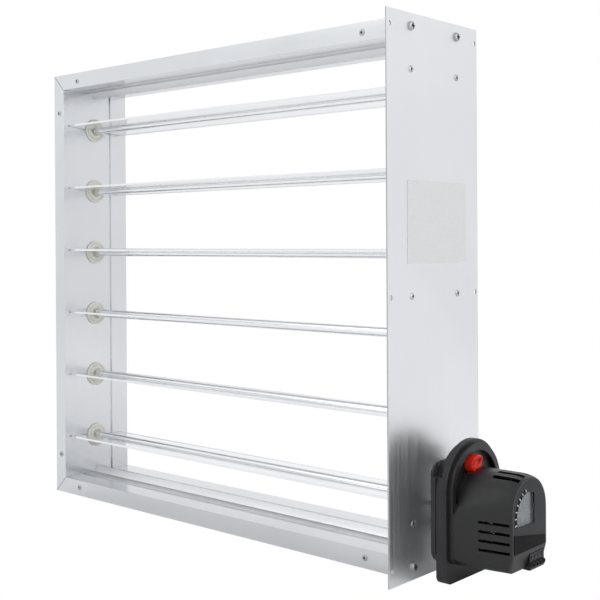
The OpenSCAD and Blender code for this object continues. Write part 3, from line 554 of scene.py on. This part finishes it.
bm = bmesh.new()
for y in (-HOLE_Y, HOLE_Y):
    for z in (-SCREW_Z, SCREW_Z):
        cross_screw(bm, (PLATE_FACE, y, z))
finish_fixings("plate_cross_screws", bm, "screw", "plate_screws")

# Flanged bushes

BUSH = scaled([(3.26, -4.6), (5.6, -4.6), (5.98, -4.2), (6, 0), (13.2, 0), (13.5, 0.3), (13.5, 1.4),
               (13.2, 1.8), (12.8, 1.9), (10.9, 1.9), (10.6, 1.2), (10.1, 1.2), (9.8, 2.1), (9.4, 2.5),
               (6.6, 2.5), (6.2, 2.2), (5.6, 1.1), (3.26, 1.1), (3.26, -4.6)])
# Each row stands on a jamb's web, at x in mm, and looks along X by way
for name, x, way in (("left_bushes", -490, 1), ("right_bushes", -16, -1)):
    bm = bmesh.new()
    for k in BLADES:
        revolve(bm, BUSH, (x * MM, 0, BLADE_Z[k]), (way, 0, 0), 48)
    finish_piece(from_bmesh(name + "_moulded", bm), "ivory", "frame", (name,))

# The release button's spring

SPRING_X, SPRING_Y, LOW, HIGH = 43.7 * MM, -5 * MM, -168.0 * MM, -156.02 * MM
WIRE, COIL_R, COILS, STEPS, SIDES = 0.3 * MM, 2.45 * MM, 6.5, 24, 8
rings = []
count = int(COILS * STEPS)
for i in range(count + 1):
    share = i / count
    a = 2 * math.pi * COILS * share
    height = LOW + WIRE + (HIGH - LOW - 2 * WIRE) * share
    middle = Vector((SPRING_X + COIL_R * math.cos(a), SPRING_Y + COIL_R * math.sin(a), height))
    outward = Vector((math.cos(a), math.sin(a), 0))
    ring = []
    for j in range(SIDES):
        b = 2 * math.pi * j / SIDES
        ring.append(middle + outward * WIRE * math.cos(b) + Vector((0, 0, WIRE * math.sin(b))))
    rings.append(ring)
bm = bmesh.new()
loft(bm, rings)
spring = from_bmesh("button_coil_spring", bm)
finish_piece(spring, "zinc", "frame", ("button_spring",))
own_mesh(spring)

# Main forms with broken edges

for node in ("left_jamb", "right_jamb", "top_rail", "bottom_rail"):
    dressed(node, width=0.3 * MM)
dressed("mounting_plate", width=0.2 * MM, edge="cut")
for node in ("top_stop", "bottom_stop"):
    dressed(node, width=0.2 * MM)
for k in BLADES:
    dressed("blade_%d" % k, width=0.25 * MM)
for node in ("actuator_base", "gear_case", "terminal_block"):
    dressed(node, width=0.3 * MM)

# Housing, with its louvres cut wider

LOUVRES, LOUVRE_W, LOUVRE_DEG = 4, 4.2 * MM, 17
LOUVRE_X, LOUVRE_UP = (68.2 * MM, 93.2 * MM), (24 * MM, 34 * MM)
louvres = []
for k in range(LOUVRES):
    turn = math.radians(LOUVRE_DEG * (k - (LOUVRES - 1) / 2))
    block = []
    for x in LOUVRE_X:
        for across in (-LOUVRE_W / 2, LOUVRE_W / 2):
            for up in LOUVRE_UP:
                block.append((x, across * math.cos(turn) - up * math.sin(turn),
                              BODY_Z * MM + across * math.sin(turn) + up * math.cos(turn)))
    louvres.append(block)
dressed("housing", width=0.2 * MM, blocks=louvres)

# Sloping floor of the hood's pocket, left of the button, between the body and the hood (mm and degrees)

HOOD_Z, HOOD_R, HOOD_ABOVE_BODY, BODY_R = -167.4, 33.3, 10.6, 29.9
FLOOR_FROM, FLOOR_TO, FLOOR_STEPS, RISE_STEPS, FLOOR_BACK = 41.5, 115.2, 40, 14, 39.1
rings = []
for i in range(FLOOR_STEPS + 1):
    a = math.radians(FLOOR_FROM + (FLOOR_TO - FLOOR_FROM) * i / FLOOR_STEPS)
    # From the hood's centre to the body, round at its top and upright at its side
    reach = -HOOD_ABOVE_BODY * math.cos(a) + math.sqrt(BODY_R ** 2 - (HOOD_ABOVE_BODY * math.sin(a)) ** 2)
    if HOOD_Z + reach * math.cos(a) < BODY_Z:
        reach = BODY_R / math.sin(a)
    reach = min(reach, HOOD_R - 0.05)
    rise = min(1.0, i / RISE_STEPS)
    rise = rise * rise * (3 - 2 * rise)
    outline = ((HOOD_R, FLOOR_BACK), (HOOD_R, 39.25 + 4.7 * rise),
               (HOOD_R * 0.6 + reach * 0.4, 39.22 + 3.6 * rise),
               (HOOD_R * 0.25 + reach * 0.75, 39.2 + 2.3 * rise),
               (reach, 39.2 + 1.9 * rise), (reach, FLOOR_BACK))
    rings.append([(x * MM, -radius * math.sin(a) * MM, (HOOD_Z + radius * math.cos(a)) * MM)
                  for radius, x in outline])
bm = bmesh.new()
loft(bm, rings)
finish_piece(from_bmesh("hood_floor", bm, 60), "case", "frame")

# Front panel and control strip, which meet along a sloping line

PANEL_R, PANEL_BACK, LOW_Z = 25.75, 93.4 * MM, -210.45
LEFT_Z, RIGHT_Z, STRIP_GAP = -194.2, -203.0, 0.1
WINDOW_R, WINDOW_Y, WINDOW_LOW_Z = 20.4, 8.0, -189.5
arch = arc(PANEL_R, BODY_Z, 90, -90, 48)
window = [p for p in arc(WINDOW_R, SHAFT_Z, 109.9, -23.0, 40) if p[0] <= WINDOW_Y]
window += [(WINDOW_Y, SHAFT_Z + math.sqrt(WINDOW_R ** 2 - WINDOW_Y ** 2)), (WINDOW_Y, WINDOW_LOW_Z)]
bm = bmesh.new()
plate(bm, scaled([(-PANEL_R, LEFT_Z)] + arch + [(PANEL_R, RIGHT_Z)]), [scaled(window)], PANEL_BACK, 95.4 * MM)
broken(bm, 0.25 * MM)
panel = even_shading(from_bmesh("panel_face", bm, 40))
finish_piece(panel, "panel", "frame", ("front_panel",))

bm = bmesh.new()
plate(bm, scaled([(-PANEL_R, LOW_Z), (-PANEL_R, LEFT_Z - STRIP_GAP), (PANEL_R, RIGHT_Z - STRIP_GAP),
                  (PANEL_R, LOW_Z)]), [], PANEL_BACK, 95.8 * MM)
broken(bm, 0.3 * MM)
strip = even_shading(from_bmesh("strip_face", bm, 40))
finish_piece(strip, "black", "frame", ("control_strip",))

# Scale band round the window's left side, with plain division marks

bm = bmesh.new()
plate(bm, sector(24.2, 21.2, 104, 12, 40), [], 95.3 * MM, 95.46 * MM)
finish_piece(from_bmesh("scale_band", bm), "black", "frame")
MARKS, FIRST_MARK, MARK_STEP, MARK_HALF = 7, 15, 14.3, 1.2
bm = bmesh.new()
for i in range(MARKS):
    a = FIRST_MARK + MARK_STEP * i
    plate(bm, sector(24.0, 21.3, a + MARK_HALF, a - MARK_HALF, 3), [], 95.4 * MM, 95.52 * MM)
finish_piece(from_bmesh("scale_marks", bm), "print", "frame")

# Indicator dial, a flat on one side of it is the pointer

bm = bmesh.new()
plate(bm, scaled(arc(21.4, SHAFT_Z, -14.6, 194.6, 90)), [], 87.8 * MM, 92.3 * MM)
broken(bm, 0.3 * MM)
dial = even_shading(from_bmesh("indicator_dial", bm, 40))
finish_piece(dial, "silver", NODES["indicator_disc"]["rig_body"], ("indicator_disc",))

# Release button

BUTTON_Y, KNOB_Z, KNOB_R, TIP_Z, TIP_R = -5.0, -144.5, 8.0, -139.2, 2.6
RING_POINTS, LIFT_FROM, LIFT_OVER = 56, 0.5, 6.5


def knob_radius(angle):
    """Distance from the knob's centre to its outline, a circle drawn out to a tip."""
    across, along = math.sin(angle), math.cos(angle)
    reach = KNOB_R
    if along > 0:
        tip = TIP_Z - KNOB_Z
        inside = TIP_R ** 2 - (tip * across) ** 2
        if inside > 0:
            reach = max(reach, tip * along + math.sqrt(inside))
    return reach


def knob_ring(x, inset, bulge, circle=None):
    """The knob's outline less an inset, or a circle, whose upper half leans out by bulge."""
    ring = []
    for i in range(RING_POINTS):
        a = 2 * math.pi * i / RING_POINTS
        radius = circle or knob_radius(a) - inset
        y, z = BUTTON_Y + radius * math.sin(a), KNOB_Z + radius * math.cos(a)
        lift = max(0.0, min(1.0, (z - KNOB_Z + LIFT_FROM) / LIFT_OVER))
        ring.append(((x + bulge * lift * lift * (3 - 2 * lift)) * MM, y * MM, z * MM))
    return ring


# From the back to the rim, then down into the dimple
KNOB_RINGS = ((39.7, 0, 0), (46.3, 0, 1.6), (47.2, 0.25, 2.0), (47.6, 0.8, 2.2), (47.7, 1.6, 2.2),
              (47.7, 0, 0.9, 4.6), (47.5, 0, 0.9, 4.2), (46.9, 0, 0.9, 3.7), (46.8, 0, 0.9, 1.5))
bm = bmesh.new()
loft(bm, [knob_ring(*ring) for ring in KNOB_RINGS])
box_between(bm, (39.8 * MM, -14 * MM, -155.98 * MM), (47.6 * MM, 4 * MM, -154.42 * MM))
box_between(bm, (39.8 * MM, -8.9 * MM, -155.98 * MM), (47.6 * MM, -1.1 * MM, -148 * MM))
button = even_shading(from_bmesh("button_cap", bm, 50))
finish_piece(button, "red", "release_button", ("release_button",))

# Camera, fitted to the photograph

scene = bpy.context.scene
YAW, PITCH_UP, ROLL = math.radians(41.6635), math.radians(-0.1791), math.radians(-0.3261)
FOCAL_PX, CENTRE_Y, SIZE_PX, SENSOR = 1061.94, 243.51, 600, 36.0
CAMERA_AT = (0.54339, -0.79086, 0.04952)
forward = Vector((-math.sin(YAW) * math.cos(PITCH_UP), math.cos(YAW) * math.cos(PITCH_UP),
                  math.sin(PITCH_UP)))
flat_right = Vector((math.cos(YAW), math.sin(YAW), 0))
flat_up = flat_right.cross(forward)
right = math.cos(ROLL) * flat_right + math.sin(ROLL) * flat_up
up = -math.sin(ROLL) * flat_right + math.cos(ROLL) * flat_up
data = bpy.data.cameras.new("camera")
data.sensor_width = SENSOR
data.lens = FOCAL_PX / SIZE_PX * SENSOR
data.shift_y = -(SIZE_PX / 2 - CENTRE_Y) / SIZE_PX
data.clip_start, data.clip_end = 0.01, 50
camera = bpy.data.objects.new("camera", data)
scene.collection.objects.link(camera)
camera.matrix_world = Matrix.Translation(CAMERA_AT) @ Matrix((right, up, -forward)).transposed().to_4x4()
scene.camera = camera

# Floor, studio and lights


def white_to_camera(tree, lit, white_type, out):
    """Sends the lit shader out, but plain white where the camera looks straight at it."""
    white = tree.nodes.new(white_type)
    white.inputs["Color"].default_value = (1, 1, 1, 1)
    path = tree.nodes.new("ShaderNodeLightPath")
    mix = tree.nodes.new("ShaderNodeMixShader")
    tree.links.new(path.outputs["Is Camera Ray"], mix.inputs[0])
    tree.links.new(lit.outputs[0], mix.inputs[1])
    tree.links.new(white.outputs[0], mix.inputs[2])
    tree.links.new(mix.outputs[0], out.inputs[0])


FLOOR_Z, FAR = -247.2 * MM, 6.0
floor_mesh = bpy.data.meshes.new("floor")
floor_corners = [(x * FAR, y * FAR, FLOOR_Z) for x, y in ((-1, -1), (1, -1), (1, 1), (-1, 1))]
floor_mesh.from_pydata(floor_corners, [], [(0, 1, 2, 3)])
floor = bpy.data.objects.new("floor", floor_mesh)
scene.collection.objects.link(floor)
mat, tree, bsdf = shader("floor", (0.87, 0.87, 0.87), 0.85)
white_to_camera(tree, bsdf, "ShaderNodeEmission", tree.nodes["Material Output"])
floor_mesh.materials.append(mat)

world = bpy.data.worlds.new("studio")
scene.world = world
world.use_nodes = True
tree = world.node_tree
tree.nodes.clear()
out = tree.nodes.new("ShaderNodeOutputWorld")
coord = tree.nodes.new("ShaderNodeTexCoord")
split = tree.nodes.new("ShaderNodeSeparateXYZ")
tree.links.new(coord.outputs["Generated"], split.inputs[0])
height = spread(tree, split.outputs["Z"], 0, 1, -1, 1)
sky = blend_colour(tree, height, (0.84, 0.84, 0.845), (0.97, 0.98, 1.0), 0.4, 0.53)
studio = tree.nodes.new("ShaderNodeBackground")
tree.links.new(sky, studio.inputs["Color"])
studio.inputs["Strength"].default_value = 1.0
white_to_camera(tree, studio, "ShaderNodeBackground", out)


def area(name, place, target, size, power):
    """A rectangular light at place that looks at target, power in watts."""
    light = bpy.data.lights.new(name, "AREA")
    light.shape = "RECTANGLE"
    light.size, light.size_y = size
    light.energy = power
    obj = bpy.data.objects.new(name, light)
    obj.location = place
    obj.rotation_euler = (Vector(target) - Vector(place)).to_track_quat("-Z", "Y").to_euler()
    scene.collection.objects.link(obj)


MIDDLE = (-0.2, 0, 0)
area("key", (-0.9, -1.3, 1.1), MIDDLE, (1.2, 0.9), 3)
area("side", (1.5, -0.2, 0.7), (0, 0, 0), (0.8, 1.2), 9)
area("back", (-0.3, 1.6, 0.8), MIDDLE, (1.6, 1.0), 3)

scene.view_settings.view_transform = "Standard"
